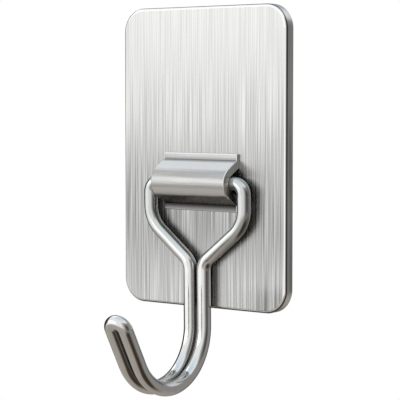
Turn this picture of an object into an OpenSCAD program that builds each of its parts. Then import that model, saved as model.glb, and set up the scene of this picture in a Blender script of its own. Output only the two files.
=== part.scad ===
// Adhesive wall hook: a pressed plate that sticks to a wall, a welded strap and a swinging wire hook.
// Millimetres. The wall is the plane y = 0, the plate faces -Y, +Z is up, and the origin is the middle of
// the adhesive's back face.

/* [Plate] */
// Width of the plate
plate_w = 60; // [50:1:90]
// Height of the plate
plate_h = 90; // [80:1:130]
// Depth of the pressed tray, from the edge of its rim to its front face
plate_depth = 3.6; // [2.6:0.1:6]
// Thickness of the plate's sheet
sheet_t = 0.6; // [0.4:0.1:1]
// Radius of the plate's corners
corner_r = 7.2; // [5:0.1:14]
// Inside radius of the fold between the face and the rim
fold_r = 0.3; // [0.1:0.1:0.8]

/* [Adhesive] */
// Thickness of the adhesive pad
pad_t = 1; // [0.8:0.1:1.4]
// How far the pad stands out behind the rim
pad_proud = 0.5; // [0.3:0.1:0.7]
// Bare margin between the edge of the board and the edge of the pad
pad_margin = 1.5; // [0.5:0.1:3]
// Gap between the edge of the board and the fold inside the tray
board_gap = 0.1; // [0.05:0.05:0.5]

/* [Strap] */
// Length of the strap across the plate
strap_l = 27; // [20:0.5:34]
// Thickness of the strap
strap_t = 2.6; // [1.5:0.1:3.5]
// Angle of the strap's two sides to the plate's normal
strap_slope = 30; // [20:1:45]
// Height of each flange beside the bent part
flange_h = 1.9; // [1.2:0.1:3]
// Thickness of the flanges, which are pressed thinner for welding
flange_t = 1; // [0.6:0.1:1.5]
// Drop of the hinge axis below the middle of the plate
hinge_drop = 7.2; // [0:0.1:12]

/* [Hinge] */
// Distance from the plate's face to the hinge axis
hinge_standoff = 2.9; // [2.7:0.1:5]
// Radial clearance between the wire and the nose of the strap
hinge_clear = 0.2; // [0.1:0.05:0.5]
// Play between each end of the strap and the start of the wire's elbow
end_play = 0.35; // [0.2:0.05:2]
// Gap between the wire's two ends, inside the strap
wire_end_gap = 2; // [0.5:0.1:8]
// Gap between the hanging wire and the plate's lower edge
rest_gap = 0.3; // [0.2:0.05:0.5]

/* [Wire] */
// Diameter of the wire
wire_d = 4.2; // [3:0.1:4.4]
// Gap between the two strands of the stem
strand_gap = 0.8; // [0.4:0.1:2]
// Inside radius of the elbow at each end of the strap
elbow_inside_r = 1.3; // [0.8:0.1:3]
// Straight length of each side below the elbow
side_run = 3.9; // [2:0.1:7]
// Bend radius of the shoulders, at the middle of the wire
shoulder_r = 9.8; // [6:0.1:12]
// Angle that the shoulders turn in towards the stem
shoulder_turn = 51; // [40:1:70]
// Bend radius where the two strands come together
neck_r = 5; // [4:0.1:7]
// Length of the straight stem below the plate's lower edge
stem_below = 4.9; // [2:0.1:20]
// Bend radius of the J, at the middle of the wire
hook_r = 16.4; // [10:0.1:24]
// Angle that the J turns through
hook_turn = 152; // [140:1:180]
// Straight length of the leg that rises to the tip
leg_len = 12.5; // [6:0.1:30]

/* [Hidden] */
$fn = 48;

// Straights and bends of one piece differ by a hair, so that their faces cross cleanly where they meet
seam = 0.01;
// Angle by which each bend of the wire laps into the straight runs beside it
lap_turn = 1;

// Depths from the wall, along -Y
rim_back = pad_proud;
face_front = rim_back + plate_depth;
face_back = face_front - sheet_t;
// Rounded outside of the fold
fold_outer_r = fold_r + sheet_t;
// Outlines inside the tray
board_inset = fold_outer_r + board_gap;
pad_inset = board_inset + pad_margin;

// Hinge axis, and the strap's nose round it
wire_r = wire_d / 2;
hinge_depth = face_front + hinge_standoff;
nose_in = wire_r + hinge_clear;
nose_out = nose_in + strap_t;
// Heights from the hinge axis, of the crease between a side and its flange and of the flange's edge
crease = (nose_out + (hinge_standoff - flange_t) * sin(strap_slope)) / cos(strap_slope);
strap_half_h = crease + flange_h;

// Wire bends, from the end under the strap to the tip
elbow_r = wire_r + elbow_inside_r;
bar_end = strap_l / 2 + end_play;
shoulder_x = bar_end + elbow_r;
strand_x = (wire_d + strand_gap) / 2;
turn_in = (shoulder_r + neck_r) * (1 - cos(shoulder_turn));
slant_len = (shoulder_x - strand_x - turn_in) / sin(shoulder_turn);
neck_drop = elbow_r + side_run + (shoulder_r + neck_r) * sin(shoulder_turn) + slant_len * cos(shoulder_turn);
stem_len = plate_h / 2 - hinge_drop + stem_below - neck_drop;
// The hook hangs back until its stem lies on the lower end of the flat face
flat_drop = plate_h / 2 - hinge_drop - fold_outer_r;
rest_lean = asin((hinge_standoff - wire_r - rest_gap) / flat_drop);

// Panel with round corners, front up: the children are its section from a corner's centre outwards
module panel(w, h, r, floor_z, floor_t) {
    translate([r - w / 2, r - h / 2, floor_z])
        cube([w - 2 * r, h - 2 * r, floor_t]);
    for (k = [0:3]) {
        out = k % 2 == 0 ? w : h;
        along = k % 2 == 0 ? h : w;
        rotate(90 * k)
            translate([out / 2 - r, along / 2 - r, 0]) {
                rotate([90, 0, 0])
                    linear_extrude(along - 2 * r)
                        children();
                rotate_extrude(angle = 90)
                    children();
            }
    }
}

// Flat panel, inset from the plate's outline
module inset_panel(inset, z, t) {
    r = corner_r - inset;
    panel(plate_w - 2 * inset, plate_h - 2 * inset, r, z, t)
        translate([0, z])
            square([r, t]);
}

// Section of the tray: face, quarter-round fold and rim
module tray_section() {
    flat = corner_r - fold_outer_r;
    translate([0, face_back])
        square([flat, sheet_t]);
    translate([flat, face_front - fold_outer_r])
        intersection() {
            difference() {
                circle(fold_outer_r);
                circle(fold_r);
            }
            square(fold_outer_r);
        }
    translate([corner_r - sheet_t, rim_back])
        square([sheet_t, plate_depth - fold_outer_r]);
}

// Brushed plate, pressed as a shallow tray
module face_plate() {
    color("gainsboro")
        rotate([90, 0, 0])
            panel(plate_w, plate_h, corner_r, face_back, sheet_t)
                tray_section();
}

// Filler board behind the face
module backing_board() {
    color("dimgray")
        rotate([90, 0, 0])
            inset_panel(board_inset, pad_t, face_back - pad_t);
}

// Adhesive pad, proud of the rim, with its back on the wall
module adhesive_pad() {
    color("whitesmoke")
        rotate([90, 0, 0])
            inset_panel(pad_inset, 0, pad_t);
}

// Puts the children on the hinge axis
module at_hinge() {
    translate([0, -hinge_depth, -hinge_drop])
        children();
}

// Section of the space inside a nose of radius r, or of its outside: a round front and two straight sides
module nose_section(r) {
    circle(r);
    side = r - seam;
    front = -side * sin(strap_slope);
    back = hinge_standoff + r;
    front_h = side * cos(strap_slope);
    back_h = (side + back * sin(strap_slope)) / cos(strap_slope);
    polygon([[front, -front_h], [back, -back_h], [back, back_h], [front, front_h]]);
}

// Section of the strap across the hinge axis: the bent part, cut off flush with the plate, and its flanges
module strap_section() {
    difference() {
        union() {
            nose_section(nose_out);
            translate([hinge_standoff - flange_t, -strap_half_h])
                square([flange_t, 2 * strap_half_h]);
        }
        nose_section(nose_in);
        translate([hinge_standoff, -2 * strap_half_h])
            square(4 * strap_half_h);
    }
}

// Bent strap that holds the wire, welded to the plate at its two flanges
module hinge_strap() {
    color("silver")
        at_hinge()
            rotate([90, 0, 90])
                linear_extrude(strap_l, center = true)
                    strap_section();
}

// Straight run of the wire along +Z; the children go on from its end
module run(length) {
    cylinder(h = length, r = wire_r);
    translate([0, 0, length])
        children();
}

// Bend of the wire from +Z towards +X, lapped into the runs beside it; the children go on from its end
module bend(radius, turn) {
    translate([radius, 0, 0]) {
        rotate([90, 0, 0])
            rotate(180 - turn - lap_turn)
                rotate_extrude(angle = turn + 2 * lap_turn)
                    translate([radius, 0])
                        circle(wire_r - seam);
        rotate([0, turn, 0])
            translate([-radius, 0, 0])
                children();
    }
}

// The whole wire, bent in order from its right end under the strap, round the tip, to its left end
module bent_wire() {
    bar_len = bar_end - wire_end_gap / 2;
    translate([wire_end_gap / 2, 0, 0])
        rotate([0, 90, 0])
            run(bar_len) bend(elbow_r, 90)
            run(side_run) bend(shoulder_r, shoulder_turn)
            run(slant_len) rotate(180) bend(neck_r, shoulder_turn)
            run(stem_len) rotate(90) bend(hook_r, hook_turn)
            run(leg_len) rotate(90) bend(strand_x, 180)
            run(leg_len) rotate(-90) bend(hook_r, hook_turn)
            run(stem_len) rotate(-90) bend(neck_r, shoulder_turn)
            run(slant_len) rotate(180) bend(shoulder_r, shoulder_turn)
            run(side_run) bend(elbow_r, 90)
            run(bar_len);
}

// Swinging hook, hanging against the plate
module hook_wire() {
    color("lightgray")
        at_hinge()
            rotate([rest_lean, 0, 0])
                bent_wire();
}

face_plate();
backing_board();
adhesive_pad();
hinge_strap();
hook_wire();
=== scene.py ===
"""Looks of an adhesive wall hook: a brushed plate, a satin strap and a polished wire hook that swings in it.

Lengths are in metres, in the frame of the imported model: the wall is the plane y = 0, the plate faces -Y and
+Z is up. The finishes work in millimetres. Azimuths run from -Y towards +X.
"""
import logging
import math
from dataclasses import dataclass
from enum import Enum, IntEnum

import bmesh
import bpy
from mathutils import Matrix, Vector


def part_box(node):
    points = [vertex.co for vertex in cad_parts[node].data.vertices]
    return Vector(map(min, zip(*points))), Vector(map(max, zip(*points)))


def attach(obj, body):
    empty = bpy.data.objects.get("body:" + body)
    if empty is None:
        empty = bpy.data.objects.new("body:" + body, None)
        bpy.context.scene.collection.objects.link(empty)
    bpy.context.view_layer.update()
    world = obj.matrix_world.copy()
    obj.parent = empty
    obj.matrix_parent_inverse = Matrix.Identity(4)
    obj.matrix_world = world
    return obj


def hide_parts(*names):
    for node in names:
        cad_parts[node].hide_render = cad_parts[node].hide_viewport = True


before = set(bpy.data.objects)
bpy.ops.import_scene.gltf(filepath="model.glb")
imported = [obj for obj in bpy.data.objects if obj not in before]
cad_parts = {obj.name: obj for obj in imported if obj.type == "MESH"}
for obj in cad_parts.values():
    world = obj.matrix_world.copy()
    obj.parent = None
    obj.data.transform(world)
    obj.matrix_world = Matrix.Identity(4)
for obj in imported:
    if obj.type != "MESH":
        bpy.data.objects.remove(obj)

Tree = bpy.types.NodeTree
Node = bpy.types.Node
Socket = bpy.types.NodeSocket
Piece = bpy.types.Object
# Two values between which a part of a surface comes in: there is none of it at the first, and all at the second
Span = tuple[float, float]

MM = 0.001
WHITE = "#FFFFFF"
# A pattern is about 0.5 on average, and most of it lies between the low and the high value
PATTERN_LOW, PATTERN_MIDDLE, PATTERN_HIGH = 0.25, 0.5, 0.75
# Output of a Mix node that gives its colour
MIXED_COLOUR = 2
LOG = logging.getLogger("wall_hook")


class Axis(IntEnum):
    """Axes of a place or a normal."""

    X = 0
    Y = 1
    Z = 2


class MixInput(IntEnum):
    """Inputs of a Mix node, by number, because its values and its colours share their names."""

    SHARE = 0
    VALUE_A = 2
    VALUE_B = 3
    COLOUR_A = 6
    COLOUR_B = 7


class CadNode(Enum):
    """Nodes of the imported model."""

    FACE_PLATE = "face_plate"
    BACKING_BOARD = "backing_board"
    ADHESIVE_PAD = "adhesive_pad"
    HINGE_STRAP = "hinge_strap"
    HOOK_WIRE = "hook_wire"

    @property
    def piece(self) -> Piece:
        """The node's object."""
        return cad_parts[self.value]


class Body(Enum):
    """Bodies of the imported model."""

    WALL_PLATE = "wall_plate"
    HOOK = "hook"


def linear(colour: str) -> tuple[float, float, float, float]:
    """Turn an sRGB hex colour into linear light.

    Args:
        colour: Colour such as "#C0C0C0".

    Returns:
        Linear red, green, blue and an alpha of 1.
    """
    parts = [int(colour[k:k + 2], 16) / 255 for k in (1, 3, 5)]
    red, green, blue = [c / 12.92 if c <= 0.04045 else ((c + 0.055) / 1.055) ** 2.4 for c in parts]
    return red, green, blue, 1.0


def toward(azimuth: float, elevation: float) -> Vector:
    """Unit vector that points to an azimuth and an elevation, both in degrees."""
    az, el = math.radians(azimuth), math.radians(elevation)
    return Vector((math.sin(az) * math.cos(el), -math.cos(az) * math.cos(el), math.sin(el)))


def add_node(
    tree: Tree, kind: str, inputs: dict[int | str, object] | None = None, **settings: object
) -> Node:
    """Add one shader node with its settings, values and links.

    Args:
        tree: Node tree that takes the node.
        kind: Kind of node, without the ShaderNode prefix.
        inputs: Value, or socket to link from, for each input by its name or number.
        settings: Other properties of the node.

    Returns:
        The new node.
    """
    node = tree.nodes.new("ShaderNode" + kind)
    for key, value in settings.items():
        setattr(node, key, value)
    for key, value in (inputs or {}).items():
        if isinstance(value, Socket):
            tree.links.new(value, node.inputs[key])
        else:
            node.inputs[key].default_value = value
    return node


def aim(thing: Piece, place: Vector, target: Vector) -> None:
    """Put a camera or lamp at a place, looking at a target with its top up."""
    thing.location = place
    thing.rotation_euler = (target - place).to_track_quat("-Z", "Y").to_euler()


def show(thing: Piece) -> Piece:
    """Link an object into the scene and give it back."""
    bpy.context.scene.collection.objects.link(thing)
    return thing


@dataclass(frozen=True)
class Grain:
    """Uneven pattern of a real size: streaks along its long side, or specks where its sides are equal."""

    x_mm: float
    y_mm: float
    z_mm: float
    detail: float

    def draw(self, tree: Tree, place: Socket) -> Socket:
        """Draw the pattern.

        Args:
            tree: Node tree of the material.
            place: Point on the piece, in millimetres.

        Returns:
            Value of the pattern.
        """
        per_mm = [1 / side for side in (self.x_mm, self.y_mm, self.z_mm)]
        scaled = add_node(tree, "VectorMath", {0: place, 1: per_mm}, operation="MULTIPLY").outputs[0]
        return add_node(tree, "TexNoise", {"Vector": scaled, "Scale": 1.0, "Detail": self.detail}).outputs[0]


@dataclass(frozen=True)
class Finish:
    """A surface: two colours that its pattern runs between, and how metallic and how rough it is."""

    name: str
    dark: str
    light: str
    # Values of the pattern at which the colour is the dark one and the light one
    dark_at: float
    light_at: float
    metallic: float
    roughness: float
    # How far the roughness varies above and below its plain value
    roughness_spread: float

    def material(self) -> bpy.types.Material:
        """Make the finish's material.

        Returns:
            The new material.
        """
        made = bpy.data.materials.new(self.name)
        made.use_nodes = True
        tree = made.node_tree
        tree.nodes.clear()
        shader = add_node(tree, "BsdfPrincipled", {"Metallic": self.metallic, "Roughness": self.roughness})
        add_node(tree, "OutputMaterial", {"Surface": shader.outputs[0]})
        points = add_node(tree, "TexCoord").outputs
        in_mm = {0: points["Object"], "Scale": 1 / MM}
        place = add_node(tree, "VectorMath", in_mm, operation="SCALE").outputs[0]
        self.paint(tree, shader, place, points["Normal"])
        return made

    def paint(self, tree: Tree, shader: Node, place: Socket, normal: Socket) -> None:
        """Draw the finish's pattern on its shader; each finish has its own.

        Args:
            tree: Node tree of the material.
            shader: Principled shader that takes the pattern.
            place: Point on the piece, in millimetres.
            normal: The way the piece faces there.
        """
        raise NotImplementedError(self.name)

    def tint(self, tree: Tree, shader: Node, pattern: Socket) -> None:
        """Colour the shader from dark to light by a pattern.

        Args:
            tree: Node tree of the material.
            shader: Principled shader to colour.
            pattern: Value of the pattern.
        """
        inputs = {"Value": pattern, "From Min": self.dark_at, "From Max": self.light_at}
        share = add_node(tree, "MapRange", inputs).outputs[0]
        colours = {MixInput.COLOUR_A: linear(self.dark), MixInput.COLOUR_B: linear(self.light)}
        mixed = add_node(tree, "Mix", {MixInput.SHARE: share} | colours, data_type="RGBA")
        tree.links.new(mixed.outputs[MIXED_COLOUR], shader.inputs["Base Color"])

    def soften(self, tree: Tree, shader: Node, pattern: Socket) -> None:
        """Vary the shader's roughness by a pattern.

        Args:
            tree: Node tree of the material.
            shader: Principled shader whose roughness varies.
            pattern: Value of the pattern.
        """
        low, high = self.roughness - self.roughness_spread, self.roughness + self.roughness_spread
        inputs = {"Value": pattern, "From Min": PATTERN_LOW, "From Max": PATTERN_HIGH}
        varied = add_node(tree, "MapRange", inputs | {"To Min": low, "To Max": high})
        tree.links.new(varied.outputs[0], shader.inputs["Roughness"])

    def emboss(self, tree: Tree, shader: Node, pattern: Socket, depth_mm: float) -> None:
        """Raise the shader's surface by a pattern.

        Args:
            tree: Node tree of the material.
            shader: Principled shader whose surface is raised.
            pattern: Value of the pattern.
            depth_mm: How far a value of 1 stands above a value of 0.
        """
        bump = add_node(tree, "Bump", {"Height": pattern, "Distance": depth_mm * MM, "Strength": 1.0})
        tree.links.new(bump.outputs[0], shader.inputs["Normal"])

    def treat_part(
        self,
        tree: Tree,
        shader: Node,
        bounds: list[tuple[Socket, float, float]],
        tone: str | None,
        roughness: float | None = None,
    ) -> None:
        """Give a part of the surface another tone, another roughness or both.

        Args:
            tree: Node tree of the material.
            shader: Principled shader, whose colour and roughness already vary.
            bounds: Values that bound the part, each with its span; the part lies where all of them are in.
            tone: Colour of the part, or None to leave the colour.
            roughness: Roughness of the part, or None to leave the roughness.
        """
        share, *others = [
            add_node(tree, "MapRange", {"Value": value, "From Min": start, "From Max": end}).outputs[0]
            for value, start, end in bounds
        ]
        for other in others:
            share = add_node(tree, "Math", {0: share, 1: other}, operation="MULTIPLY").outputs[0]
        if tone is not None:
            colour = shader.inputs["Base Color"]
            before = colour.links[0].from_socket
            mix = {MixInput.SHARE: share, MixInput.COLOUR_A: before, MixInput.COLOUR_B: linear(tone)}
            tree.links.new(add_node(tree, "Mix", mix, data_type="RGBA").outputs[MIXED_COLOUR], colour)
        if roughness is not None:
            rough = shader.inputs["Roughness"]
            before = rough.links[0].from_socket
            mix = {MixInput.SHARE: share, MixInput.VALUE_A: before, MixInput.VALUE_B: roughness}
            tree.links.new(add_node(tree, "Mix", mix, data_type="FLOAT").outputs[0], rough)


@dataclass(frozen=True)
class FoldMark:
    """A mark along a sheet's fold, bounded by the way the sheet faces along some of the axes; its colour is a
    painted highlight or painted shade.

    It has no colour where only the roughness differs.
    """

    colour: str | None
    roughness: float
    bounds: tuple[tuple[Axis, float, float], ...]


@dataclass(frozen=True)
class BrushedStainless(Finish):
    """Stainless steel sheet, brushed with an abrasive belt along Z and then pressed.

    The belt leaves long fine streaks, some lighter and some darker, and draws each highlight out across them.
    Pressing leaves a smooth rim; the bright line along the fold, the dark lines beside it and the light rim are
    painted highlight and painted shade, and the sheet is painted lighter towards its two ends.
    """

    name: str = "brushed_stainless_steel"
    dark: str = "#7E7E7D"
    light: str = "#DCDCDA"
    dark_at: float = 0.293
    light_at: float = 0.9
    metallic: float = 1.0
    roughness: float = 0.24
    roughness_spread: float = 0.05
    anisotropic: float = 0.8
    # The belt's scratches are about 0.05 mm wide, drawn coarser to show at this size
    streaks: Grain = Grain(0.32, 2.0, 28.0, 0.0)
    bands: Grain = Grain(1.3, 4.0, 45.0, 1.0)
    band_share: float = 0.1
    scratch_depth_mm: float = 0.002
    # The belt bears less on the upper half, where the streaks are fainter
    faint_mm: Span = (-5.0, 40.0)
    faint_share: float = 0.48
    # Painted light: heights between which the sheet is painted lighter, towards its upper and its lower end, and
    # by how much
    painted_light_lifts: tuple[tuple[float, float, float], ...] = ((-14.0, 14.0, 0.229), (-18.0, -45.0, 0.175))
    # Painted highlight and painted shade along the fold
    painted_fold_highlight: str = "#FCFCFB"
    painted_fold_shade: str = "#63615F"
    fold_roughness: float = 0.12
    # The top of the rim lies open to dust and is matt
    top_roughness: float = 0.25
    off_face: tuple[Axis, float, float] = (Axis.Y, -0.995, -0.96)
    marks: tuple[FoldMark, ...] = (
        # All that is off the face is smooth
        FoldMark(None, fold_roughness, (off_face,)),
        # Painted highlight along the fold, and painted shade as a dark line behind it
        FoldMark(painted_fold_highlight, fold_roughness, (off_face, (Axis.Y, -0.5, -0.62))),
        FoldMark(painted_fold_shade, fold_roughness, ((Axis.Y, -0.62, -0.5), (Axis.Y, -0.08, -0.15))),
        # Painted shade on the under side of the fold, and a painted highlight on the rim beside it
        FoldMark(painted_fold_shade, fold_roughness, ((Axis.Z, -0.35, -0.55), (Axis.Y, -0.1, -0.2))),
        FoldMark(painted_fold_highlight, fold_roughness, ((Axis.Z, -0.05, -0.3), (Axis.Y, -0.2, -0.1))),
        # Painted shade on the upper side of the fold, and a painted highlight on the matt rim beside it
        FoldMark(painted_fold_shade, fold_roughness, ((Axis.Z, 0.64, 0.78), (Axis.Y, -0.9, -0.8))),
        FoldMark(painted_fold_highlight, top_roughness, ((Axis.Z, 0.1, 0.4), (Axis.Y, -0.2, -0.1))),
    )

    def paint(self, tree: Tree, shader: Node, place: Socket, normal: Socket) -> None:
        """Draw the streaks on the sheet, with painted light towards its two ends, and the fold's painted
        highlights and painted shade over them.

        Args:
            tree: Node tree of the material.
            shader: Principled shader that takes the pattern.
            place: Point on the piece, in millimetres.
            normal: The way the piece faces there.
        """
        streaks, bands = self.streaks.draw(tree, place), self.bands.draw(tree, place)
        mix = {MixInput.SHARE: self.band_share, MixInput.VALUE_A: streaks, MixInput.VALUE_B: bands}
        both = add_node(tree, "Mix", mix, data_type="FLOAT").outputs[0]
        self.tint(tree, shader, self.shade(tree, place, both))
        self.soften(tree, shader, both)
        self.emboss(tree, shader, streaks, self.scratch_depth_mm)
        ways = add_node(tree, "SeparateXYZ", {0: normal}).outputs
        # Painted highlights and painted shade along the fold, over a smoother rim
        for mark in self.marks:
            bounds = [(ways[axis], start, end) for axis, start, end in mark.bounds]
            self.treat_part(tree, shader, bounds, mark.colour, mark.roughness)
        shader.inputs["Anisotropic"].default_value = self.anisotropic

    def shade(self, tree: Tree, place: Socket, streaks: Socket) -> Socket:
        """Make the streaks fainter on the upper half, and paint light onto the sheet towards its two ends.

        Args:
            tree: Node tree of the material.
            place: Point on the piece, in millimetres.
            streaks: Value of the streaks.

        Returns:
            Value of the streaks with these changes.
        """
        height = add_node(tree, "SeparateXYZ", {0: place}).outputs[Axis.Z]
        start, end = self.faint_mm
        fade = {"Value": height, "From Min": start, "From Max": end, "To Min": 1.0, "To Max": self.faint_share}
        strength = add_node(tree, "MapRange", fade).outputs[0]
        mix = {MixInput.SHARE: strength, MixInput.VALUE_A: PATTERN_MIDDLE, MixInput.VALUE_B: streaks}
        tone = add_node(tree, "Mix", mix, data_type="FLOAT").outputs[0]
        # Painted light: the sheet is painted lighter towards its upper and its lower end
        for start, end, lift in self.painted_light_lifts:
            lighten = {"Value": height, "From Min": start, "From Max": end, "To Max": lift}
            rise = add_node(tree, "MapRange", lighten, interpolation_type="SMOOTHSTEP").outputs[0]
            tone = add_node(tree, "Math", {0: tone, 1: rise}, operation="ADD").outputs[0]
        return tone


@dataclass(frozen=True)
class SatinStainless(Finish):
    """Stainless steel strip, tumbled to a satin finish, bent, sheared off at its two ends and spot welded.

    Tumbling gives a soft shine with short faint streaks along the strip. The upper side and the lower half of
    the nose are painted lighter, as painted light, and the under side, the creases and the lower flange are
    painted darker, as painted shade. The edges carry a painted highlight, and the sheared ends are dark.
    """

    name: str = "satin_stainless_steel"
    dark: str = "#ABABAA"
    light: str = "#BDBDBC"
    dark_at: float = 0.3
    light_at: float = 0.7
    metallic: float = 1.0
    roughness: float = 0.25
    roughness_spread: float = 0.03
    # The dents and streaks of the tumbling chips are finer than this, drawn coarser to show at this size
    mottle: Grain = Grain(0.6, 0.45, 0.45, 1.0)
    streaks: Grain = Grain(10.0, 0.5, 0.5, 1.0)
    streak_share: float = 0.75
    mottle_depth_mm: float = 0.006
    # Sides, by how far they face up or, where the number is negative, down: painted light on the upper side and
    # the lower half of the nose, painted shade on the under side
    painted_upper_light: str = "#F8F8F8"
    upper_roughness: float = 0.75
    upper_facing: Span = (0.7, 0.86)
    painted_lower_nose_light: str = "#EEEEF0"
    lower_nose_facing: Span = (-0.15, -0.4)
    under: str = "#9B9997"
    under_facing: Span = (-0.6, -0.86)
    # Painted shade darkens the creases beside the flanges, which lie this far above and below the hinge axis
    axis_mm: float = -7.2
    crease_mm: float = 6.75
    painted_crease_shade: str = "#858385"
    crease_shade_mm: Span = (0.8, 0.0)
    # Painted shadow on the lower flange beside its crease, painted shade over the lower flange, and a painted
    # highlight on the flanges' outer edges, by their height from the hinge axis
    painted_flange_shadow: str = "#403E3C"
    flange_shadow_mm: Span = (-6.4125, -6.75)
    painted_flange_shade: str = "#8A8886"
    flange_mm: Span = (-7.155, -8.235)
    flange_edge_mm: Span = (8.26, 8.52)
    # Painted highlight on the rounded edges, and the sheared ends' own tone, by how far they face along the
    # strip
    edge: str = "#F2F2F1"
    edge_facing: Span = (0.1, 0.3)
    sheared: str = "#BDBAB7"
    sheared_facing: Span = (0.9, 0.97)

    def paint(self, tree: Tree, shader: Node, place: Socket, normal: Socket) -> None:
        """Draw the mottle and streaks on the strip, paint light and shade on its sides, creases, flanges and
        edges, and tone its ends.

        Args:
            tree: Node tree of the material.
            shader: Principled shader that takes the pattern.
            place: Point on the piece, in millimetres.
            normal: The way the piece faces there.
        """
        mottle, streaks = self.mottle.draw(tree, place), self.streaks.draw(tree, place)
        mix = {MixInput.SHARE: self.streak_share, MixInput.VALUE_A: mottle, MixInput.VALUE_B: streaks}
        both = add_node(tree, "Mix", mix, data_type="FLOAT").outputs[0]
        self.tint(tree, shader, both)
        self.soften(tree, shader, both)
        self.emboss(tree, shader, mottle, self.mottle_depth_mm)
        self.tone_sides(tree, shader, place, normal)

    def tone_sides(self, tree: Tree, shader: Node, place: Socket, normal: Socket) -> None:
        """Paint light and shade on the strip, and tone its ends, by the way its faces point and by their height
        from the hinge axis.

        Args:
            tree: Node tree of the material.
            shader: Principled shader, already coloured.
            place: Point on the piece, in millimetres.
            normal: The way the piece faces there.
        """
        sideways, _, up = add_node(tree, "SeparateXYZ", {0: normal}).outputs
        along = add_node(tree, "Math", {0: sideways}, operation="ABSOLUTE").outputs[0]
        height = add_node(tree, "SeparateXYZ", {0: place}).outputs[Axis.Z]
        rise = add_node(tree, "Math", {0: height, 1: self.axis_mm}, operation="SUBTRACT").outputs[0]
        reach = add_node(tree, "Math", {0: rise}, operation="ABSOLUTE").outputs[0]
        beyond = add_node(tree, "Math", {0: reach, 1: self.crease_mm}, operation="SUBTRACT").outputs[0]
        apart = add_node(tree, "Math", {0: beyond}, operation="ABSOLUTE").outputs[0]
        # Painted light on the upper side, which is also rougher
        self.treat_part(tree, shader, [(up, *self.upper_facing)], self.painted_upper_light, self.upper_roughness)
        # Painted light on the lower half of the nose, painted shade on the under side, in the creases and over
        # the lower flange, painted highlights on the edges, and the sheared ends' own tone
        for value, span, tone in (
            (up, self.lower_nose_facing, self.painted_lower_nose_light),
            (up, self.under_facing, self.under),
            (apart, self.crease_shade_mm, self.painted_crease_shade),
            (rise, self.flange_shadow_mm, self.painted_flange_shadow),
            (rise, self.flange_mm, self.painted_flange_shade),
            (reach, self.flange_edge_mm, self.edge),
            (along, self.edge_facing, self.edge),
            (along, self.sheared_facing, self.sheared),
        ):
            self.treat_part(tree, shader, [(value, *span)], tone)


@dataclass(frozen=True)
class PolishedSteelWire(Finish):
    """Drawn steel wire, bright polished after bending.

    Buffing leaves a mirror with a very faint haze, and a slight waviness that bends the edges of reflections.
    The groove between the two strands is rougher and darkened with painted shade, and the buffing doesn't reach
    well into the loop under the strap, which stays a little dull. The back of the loop and the stem is rougher
    and darkened with painted shade, which the plate mirrors as a contact shadow.
    """

    name: str = "polished_steel_wire"
    dark: str = "#DFDFDE"
    light: str = "#E7E7E7"
    dark_at: float = 0.3
    light_at: float = 0.7
    metallic: float = 1.0
    roughness: float = 0.08
    roughness_spread: float = 0.025
    haze: Grain = Grain(1.6, 1.6, 1.6, 3.0)
    waves: Grain = Grain(7.0, 7.0, 7.0, 0.0)
    wave_depth_mm: float = 0.005
    # The loop, by its height
    loop: str = "#D1D4D3"
    loop_roughness: float = 0.12
    loop_mm: Span = (-31.0, -25.0)
    # The groove, by its distance from the middle of the hook and by how far it faces sideways; it is rougher and
    # darkened with painted shade
    painted_groove_shade: str = "#A29E9A"
    groove_roughness: float = 0.3
    groove_mm: Span = (0.9, 0.6)
    groove_facing: Span = (0.5, 0.8)
    # Painted shade on the back of the loop and the stem, down to the plate's lower edge, which the plate mirrors
    # as a contact shadow; the back is also rougher
    back: str = "#8E8B88"
    back_roughness: float = 0.25
    back_mm: Span = (-47.0, -44.0)
    back_facing: Span = (0.4, 0.65)

    def paint(self, tree: Tree, shader: Node, place: Socket, normal: Socket) -> None:
        """Draw the haze and the waves on the wire, dull the loop, and paint shade into the groove and onto the
        back.

        Args:
            tree: Node tree of the material.
            shader: Principled shader that takes the pattern.
            place: Point on the piece, in millimetres.
            normal: The way the piece faces there.
        """
        haze = self.haze.draw(tree, place)
        self.tint(tree, shader, haze)
        self.soften(tree, shader, haze)
        self.emboss(tree, shader, self.waves.draw(tree, place), self.wave_depth_mm)
        across, _, height = add_node(tree, "SeparateXYZ", {0: place}).outputs
        sideways, behind, _ = add_node(tree, "SeparateXYZ", {0: normal}).outputs
        apart = add_node(tree, "Math", {0: across}, operation="ABSOLUTE").outputs[0]
        steep = add_node(tree, "Math", {0: sideways}, operation="ABSOLUTE").outputs[0]
        in_loop = [(height, *self.loop_mm)]
        in_groove = [(apart, *self.groove_mm), (steep, *self.groove_facing)]
        on_back = [(height, *self.back_mm), (behind, *self.back_facing)]
        self.treat_part(tree, shader, in_loop, self.loop, self.loop_roughness)
        # Painted shade in the groove between the strands, which is also rougher
        self.treat_part(tree, shader, in_groove, self.painted_groove_shade, self.groove_roughness)
        # Painted shade on the back, which the plate mirrors as a contact shadow
        self.treat_part(tree, shader, on_back, self.back, self.back_roughness)


@dataclass(frozen=True)
class MouldedAbs(Finish):
    """ABS board, moulded in a spark-eroded tool.

    The tool's fine pits leave an even matt grain with a low sheen.
    """

    name: str = "moulded_abs"
    dark: str = "#37383A"
    light: str = "#48494B"
    dark_at: float = 0.3
    light_at: float = 0.7
    metallic: float = 0.0
    roughness: float = 0.6
    roughness_spread: float = 0.08
    # The pits are about 0.1 mm wide, drawn coarser to show at this size
    pits: Grain = Grain(0.5, 0.5, 0.5, 2.0)
    pit_depth_mm: float = 0.04

    def paint(self, tree: Tree, shader: Node, place: Socket, normal: Socket) -> None:
        """Draw the pits on the board.

        Args:
            tree: Node tree of the material.
            shader: Principled shader that takes the pattern.
            place: Point on the piece, in millimetres.
            normal: The way the piece faces there, which makes no difference to the pits.
        """
        pits = self.pits.draw(tree, place)
        self.tint(tree, shader, pits)
        self.soften(tree, shader, pits)
        self.emboss(tree, shader, pits, self.pit_depth_mm)


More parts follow.
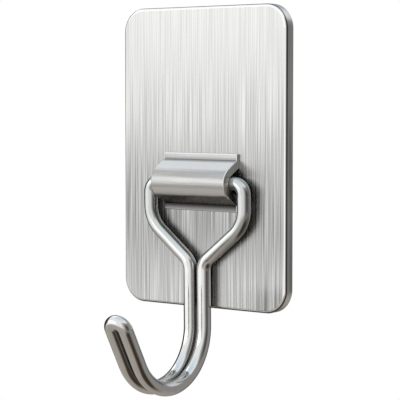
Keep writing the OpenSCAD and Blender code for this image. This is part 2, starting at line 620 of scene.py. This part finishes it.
@dataclass(frozen=True)
class AcrylicFoam(Finish):
    """Acrylic foam tape, coated with tacky adhesive and die cut.

    Its closed cells show as a soft speckle under a slightly wet shine, cloudy where the coat is thicker.
    """

    name: str = "acrylic_foam_tape"
    dark: str = "#D3D1CA"
    light: str = "#EAE9E4"
    dark_at: float = 0.35
    light_at: float = 0.65
    metallic: float = 0.0
    roughness: float = 0.42
    roughness_spread: float = 0.1
    # The cells are about 0.1 mm wide, drawn coarser to show at this size
    cells: Grain = Grain(0.7, 0.7, 0.7, 3.0)
    clouds: Grain = Grain(9.0, 9.0, 14.0, 2.0)
    cloud_share: float = 0.5
    cell_depth_mm: float = 0.05
    coat: float = 0.25
    coat_roughness: float = 0.2

    def paint(self, tree: Tree, shader: Node, place: Socket, normal: Socket) -> None:
        """Draw the cells and the clouded coat on the tape.

        Args:
            tree: Node tree of the material.
            shader: Principled shader that takes the pattern.
            place: Point on the piece, in millimetres.
            normal: The way the piece faces there, which makes no difference to the cells.
        """
        cells, clouds = self.cells.draw(tree, place), self.clouds.draw(tree, place)
        mix = {MixInput.SHARE: self.cloud_share, MixInput.VALUE_A: cells, MixInput.VALUE_B: clouds}
        self.tint(tree, shader, add_node(tree, "Mix", mix, data_type="FLOAT").outputs[0])
        self.soften(tree, shader, clouds)
        self.emboss(tree, shader, cells, self.cell_depth_mm)
        shader.inputs["Coat Weight"].default_value = self.coat
        shader.inputs["Coat Roughness"].default_value = self.coat_roughness


def dress(piece: Piece, body: Body, finish: Finish) -> None:
    """Give a piece one finish and report it.

    Args:
        piece: Object to dress.
        body: Body that it rides on.
        finish: Finish that it gets.
    """
    piece.data.materials.clear()
    piece.data.materials.append(finish.material())
    LOG.info("%s on %s: %s", piece.name, body.value, finish.name)


@dataclass
class WallPlate:
    """The pressed plate with the board in its tray and the adhesive pad on its back."""

    pad_corner: float = 4.7 * MM
    pad_edge: float = 0.25 * MM
    corner_steps: int = 12
    edge_steps: int = 3
    # A bevel's profile of 0.5 is round
    edge_profile: float = 0.5
    sharp_angle: float = math.radians(40)

    def pad_outline(self, half_w: float, half_h: float) -> list[tuple[float, float]]:
        """Outline of the pad.

        Args:
            half_w: Half of the pad's width.
            half_h: Half of the pad's height.

        Returns:
            Points (x, z) in order round the outline.
        """
        points = []
        for quarter, (side, end) in enumerate(((1, 1), (-1, 1), (-1, -1), (1, -1))):
            for step in range(self.corner_steps + 1):
                turn = math.radians(90 * (quarter + step / self.corner_steps))
                x = side * (half_w - self.pad_corner) + self.pad_corner * math.cos(turn)
                z = end * (half_h - self.pad_corner) + self.pad_corner * math.sin(turn)
                points.append((x, z))
        return points

    def build_pad(self) -> Piece:
        """Build the foam pad in the place of its CAD node, with softly rounded edges.

        Returns:
            The pad, riding on the plate.
        """
        low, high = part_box(CadNode.ADHESIVE_PAD.value)
        outline = self.pad_outline(high.x, high.z)
        work = bmesh.new()
        front, back = [[work.verts.new((x, y, z)) for x, z in outline] for y in (low.y, high.y)]
        work.faces.new(front)
        work.faces.new(back)
        rims = list(work.edges)
        for k in range(len(outline)):
            after = (k + 1) % len(outline)
            work.faces.new((front[k], front[after], back[after], back[k]))
        bmesh.ops.bevel(
            work,
            geom=rims,
            offset=self.pad_edge,
            segments=self.edge_steps,
            profile=self.edge_profile,
            affect="EDGES",
        )
        bmesh.ops.recalc_face_normals(work, faces=work.faces)
        mesh = bpy.data.meshes.new("foam_pad")
        work.to_mesh(mesh)
        work.free()
        mesh.shade_smooth()
        mesh.set_sharp_from_angle(angle=self.sharp_angle)
        pad = show(bpy.data.objects.new("foam_pad", mesh))
        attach(pad, Body.WALL_PLATE.value)
        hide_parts(CadNode.ADHESIVE_PAD.value)
        return pad

    def build(self) -> None:
        """Build the pad and dress the three pieces."""
        dress(CadNode.FACE_PLATE.piece, Body.WALL_PLATE, BrushedStainless())
        dress(CadNode.BACKING_BOARD.piece, Body.WALL_PLATE, MouldedAbs())
        dress(self.build_pad(), Body.WALL_PLATE, AcrylicFoam())


@dataclass
class HingeStrap:
    """The bent strap that holds the wire."""

    edge_round: float = 0.35 * MM
    edge_steps: int = 3
    edge_angle: float = math.radians(35)
    weld_gap: float = 0.001 * MM

    def round_edges(self, strap: Piece) -> None:
        """Round the strap's edges, which tumbling takes off.

        Args:
            strap: The strap's object.
        """
        strap.modifiers.new("join", "WELD").merge_threshold = self.weld_gap
        bevel = strap.modifiers.new("edges", "BEVEL")
        bevel.width, bevel.segments = self.edge_round, self.edge_steps
        bevel.limit_method, bevel.angle_limit = "ANGLE", self.edge_angle
        strap.modifiers.new("shade", "WEIGHTED_NORMAL").keep_sharp = False

    def build(self) -> None:
        """Round and dress the strap."""
        self.round_edges(CadNode.HINGE_STRAP.piece)
        dress(CadNode.HINGE_STRAP.piece, Body.WALL_PLATE, SatinStainless())


@dataclass
class SwingHook:
    """The bent wire hook that swings in the strap; the CAD model holds all its sizes."""

    def build(self) -> None:
        """Dress the wire."""
        dress(CadNode.HOOK_WIRE.piece, Body.HOOK, PolishedSteelWire())


@dataclass(frozen=True)
class SoftBox:
    """Lamp behind a diffuser, given by where it stands, its size and how bright its face is.

    The metal doesn't mirror a lamp that is only a fill.
    """

    name: str
    azimuth: float
    elevation: float
    distance: float
    width: float
    height: float
    brightness: float
    fill: bool = False

    def light(self) -> None:
        """Make the lamp; the camera doesn't see it."""
        data = bpy.data.lights.new(self.name, "AREA")
        data.shape, data.size, data.size_y = "RECTANGLE", self.width, self.height
        # A lamp of this kind shows a brightness of a quarter of its power over its area
        data.energy = 4 * self.brightness * self.width * self.height
        lamp = show(bpy.data.objects.new(self.name, data))
        aim(lamp, toward(self.azimuth, self.elevation) * self.distance, Vector((0, 0, 0)))
        lamp.visible_camera = False
        lamp.visible_glossy = not self.fill
        LOG.info("lamp %s", self.name)


@dataclass(frozen=True)
class Card:
    """Soft-edged card in the surroundings, light or dark; its place and its half sizes are in degrees.

    It covers all that is behind it up to the full share of its half sizes, and fades from there to its edge.
    """

    azimuth: float
    elevation: float
    half_width: float
    half_height: float
    colour: str
    brightness: float = 1.0
    full_share: float = 0.4

    def cover(self, tree: Tree, ray: Socket) -> Socket:
        """Say how far the card covers a direction.

        Args:
            tree: Node tree of the world.
            ray: Direction that is looked at.

        Returns:
            Share of the card, from 0 beside it to 1 on it.
        """
        middle = toward(self.azimuth, self.elevation)
        turn = (math.radians(-self.elevation), 0.0, math.radians(self.azimuth))
        reach = (math.sin(math.radians(self.half_width)), 1.0, math.sin(math.radians(self.half_height)))
        place = {"Vector": ray, "Location": middle, "Rotation": turn, "Scale": reach}
        inside = add_node(tree, "Mapping", place, vector_type="TEXTURE").outputs[0]
        apart = add_node(tree, "VectorMath", {0: inside}, operation="LENGTH").outputs["Value"]
        edge = {"Value": apart, "From Min": 1.0, "From Max": self.full_share}
        return add_node(tree, "MapRange", edge, interpolation_type="SMOOTHSTEP").outputs[0]

    def draw(self, tree: Tree, ray: Socket, behind: Socket) -> Socket:
        """Draw the card over what is behind it.

        Args:
            tree: Node tree of the world.
            ray: Direction that is looked at.
            behind: Colour of the surroundings without the card.

        Returns:
            Colour of the surroundings with the card.
        """
        red, green, blue, alpha = linear(self.colour)
        shine = (red * self.brightness, green * self.brightness, blue * self.brightness, alpha)
        mix = {MixInput.SHARE: self.cover(tree, ray), MixInput.COLOUR_A: behind, MixInput.COLOUR_B: shine}
        return add_node(tree, "Mix", mix, data_type="RGBA").outputs[MIXED_COLOUR]


@dataclass
class Studio:
    """Soft light all round, a white background, softboxes and a pale floor."""

    # The fill shows the back, which faces the wall in use
    softboxes: tuple[SoftBox, ...] = (
        SoftBox("rim", -106, 48, 0.6, 0.22, 0.2, 0.5),
        SoftBox("fill", 180, 25, 0.8, 0.5, 0.5, 4.5, fill=True),
    )
    cards: tuple[Card, ...] = (
        # A low strip and the key card, left of the camera
        Card(-35, -7, 52, 9, WHITE, 1.18),
        Card(-38, 13, 38, 17, WHITE, 1.7, 0.6),
        # Dark cards below on the right, on the right, behind and on the left, which give the metal its outlines
        Card(90, -52, 44, 40, "#40382F"),
        Card(85, 4, 28, 32, "#55524F"),
        Card(-168, -2, 42, 46, "#4A4846"),
        Card(-108, 4, 46, 36, "#282624", full_share=0.65),
        # A pale card high up behind
        Card(165, 34, 28, 20, "#D8DADD"),
    )
    # The white backdrop behind the hook, which the metal mirrors as well
    backdrop: Card = Card(-143, -7, 11, 10, WHITE, full_share=0.6)
    # Tones of the surroundings by elevation, on the lit side and on the dim side
    lit: tuple[tuple[float, str], ...] = (
        (-90, "#A8A199"), (-45, "#B0ABA3"), (-22, "#BBB7B1"), (-14, "#F8F7F4"), (1, "#F8F7F5"),
        (30, "#FFFFFF"), (45, "#FEFFFF"), (60, "#EEFAFF"), (90, "#DAEBFC"),
    )
    dim: tuple[tuple[float, str], ...] = (
        (-90, "#A8A199"), (-45, "#A49D95"), (-20, "#93908C"), (0, "#939190"), (34, "#929190"),
        (50, "#FCFEFF"), (60, "#EEFAFF"), (90, "#DAEBFC"),
    )
    # The middle of the lit side, and how far a direction points to it where the lit side starts and is full
    lit_azimuth: float = -40
    lit_from: float = -0.2
    lit_to: float = 0.4
    # The floor is plain near the hook, and turns white before its edge
    floor_z: float = -0.3
    floor_radius: float = 1.1
    floor_plain: float = 0.45
    floor_white: float = 1.045
    floor_segments: int = 96
    floor_colour: str = "#EFEDE9"

    def surroundings(self) -> None:
        """Paint the surroundings by direction: what lights the hook and what its metal mirrors."""
        world = bpy.data.worlds.new("studio")
        bpy.context.scene.world = world
        world.use_nodes = True
        tree = world.node_tree
        tree.nodes.clear()
        ray = add_node(tree, "TexCoord").outputs["Generated"]
        painted = add_node(tree, "Background", {"Color": self.room(tree, ray), "Strength": 1.0})
        white = add_node(tree, "Background", {"Color": linear(self.backdrop.colour), "Strength": 1.0})
        path = add_node(tree, "LightPath").outputs
        mirror = {0: path["Is Glossy Ray"], 1: self.backdrop.cover(tree, ray)}
        seen = add_node(tree, "Math", mirror, operation="MULTIPLY").outputs[0]
        for kind in ("Is Camera Ray", "Is Transmission Ray"):
            seen = add_node(tree, "Math", {0: seen, 1: path[kind]}, operation="MAXIMUM").outputs[0]
        shown = add_node(tree, "MixShader", {0: seen, 1: painted.outputs[0], 2: white.outputs[0]})
        add_node(tree, "OutputWorld", {"Surface": shown.outputs[0]})

    def room(self, tree: Tree, ray: Socket) -> Socket:
        """Run from the dim side to the lit side, and draw the cards over them.

        Args:
            tree: Node tree of the world.
            ray: Direction that is looked at.

        Returns:
            Colour for the direction.
        """
        height = add_node(tree, "SeparateXYZ", {0: ray}).outputs[Axis.Z]
        level = add_node(tree, "MapRange", {"Value": height, "From Min": -1.0, "From Max": 1.0}).outputs[0]
        dim, lit = [self.ramp(tree, level, tones) for tones in (self.dim, self.lit)]
        lit_way = {0: ray, 1: toward(self.lit_azimuth, 0)}
        facing = add_node(tree, "VectorMath", lit_way, operation="DOT_PRODUCT").outputs["Value"]
        inputs = {"Value": facing, "From Min": self.lit_from, "From Max": self.lit_to}
        share = add_node(tree, "MapRange", inputs, interpolation_type="SMOOTHSTEP").outputs[0]
        mix = {MixInput.SHARE: share, MixInput.COLOUR_A: dim, MixInput.COLOUR_B: lit}
        colour = add_node(tree, "Mix", mix, data_type="RGBA").outputs[MIXED_COLOUR]
        for card in self.cards:
            colour = card.draw(tree, ray, colour)
        return colour

    def ramp(self, tree: Tree, level: Socket, tones: tuple[tuple[float, str], ...]) -> Socket:
        """Run through the tones by height.

        Args:
            tree: Node tree of the world.
            level: Height of the direction, from 0 straight down to 1 straight up.
            tones: Elevations in degrees, each with its colour.

        Returns:
            Colour for the direction.
        """
        node = add_node(tree, "ValToRGB", {0: level})
        stops = node.color_ramp.elements
        while len(stops) < len(tones):
            stops.new(0.5)
        for stop, (elevation, colour) in zip(stops, tones):
            stop.position = (math.sin(math.radians(elevation)) + 1) / 2
            stop.color = linear(colour)
        return node.outputs[0]

    def floor_material(self) -> bpy.types.Material:
        """Make the floor's material: matt and pale, then white, and clear from below.

        Returns:
            The new material.
        """
        made = bpy.data.materials.new("pale_floor")
        made.use_nodes = True
        tree = made.node_tree
        tree.nodes.clear()
        place = add_node(tree, "TexCoord").outputs["Object"]
        reach = add_node(tree, "VectorMath", {0: place}, operation="LENGTH").outputs["Value"]
        fade = {"Value": reach, "From Min": self.floor_plain, "From Max": self.floor_white}
        share = add_node(tree, "MapRange", fade, interpolation_type="SMOOTHSTEP").outputs[0]
        matt = add_node(tree, "BsdfDiffuse", {"Color": linear(self.floor_colour)})
        white = add_node(tree, "Emission", {"Color": linear(WHITE), "Strength": 1.0})
        shown = add_node(tree, "MixShader", {0: share, 1: matt.outputs[0], 2: white.outputs[0]})
        under = add_node(tree, "NewGeometry").outputs["Backfacing"]
        clear = add_node(tree, "BsdfTransparent")
        sided = add_node(tree, "MixShader", {0: under, 1: shown.outputs[0], 2: clear.outputs[0]})
        add_node(tree, "OutputMaterial", {"Surface": sided.outputs[0]})
        return made

    def floor(self) -> None:
        """Lay a pale round floor that fades into the white background and takes the hook's shadow."""
        work = bmesh.new()
        bmesh.ops.create_circle(work, cap_ends=True, segments=self.floor_segments, radius=self.floor_radius)
        mesh = bpy.data.meshes.new("floor")
        work.to_mesh(mesh)
        work.free()
        mesh.materials.append(self.floor_material())
        floor = show(bpy.data.objects.new("floor", mesh))
        floor.location.z = self.floor_z
        # The surroundings already hold the floor that the metal mirrors
        floor.visible_glossy = False

    def build(self) -> None:
        """Set the light, the background and the floor."""
        self.surroundings()
        for softbox in self.softboxes:
            softbox.light()
        self.floor()
        bpy.context.scene.view_settings.view_transform = "Standard"
        LOG.info("studio")


@dataclass
class PhotoCamera:
    """The camera at the photograph's place."""

    eye: tuple[float, float, float] = (278.77 * MM, -379.11 * MM, 18.27 * MM)
    target: tuple[float, float, float] = (-0.781 * MM, -4.1 * MM, -12.688 * MM)
    lens_mm: float = 140.99
    sensor_mm: float = 36.0
    clip_start: float = 10 * MM

    def build(self) -> None:
        """Make the camera and use it."""
        data = bpy.data.cameras.new("camera")
        data.sensor_width, data.lens = self.sensor_mm, self.lens_mm
        data.clip_start = self.clip_start
        camera = show(bpy.data.objects.new("camera", data))
        aim(camera, Vector(self.eye), Vector(self.target))
        bpy.context.scene.camera = camera
        LOG.info("camera")


def main() -> None:
    """Build the hook, its studio and its camera."""
    logging.basicConfig(level=logging.INFO, format="%(message)s")
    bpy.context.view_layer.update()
    PhotoCamera().build()
    for part in (WallPlate(), HingeStrap(), SwingHook(), Studio()):
        part.build()


if __name__ == "__main__":
    main()
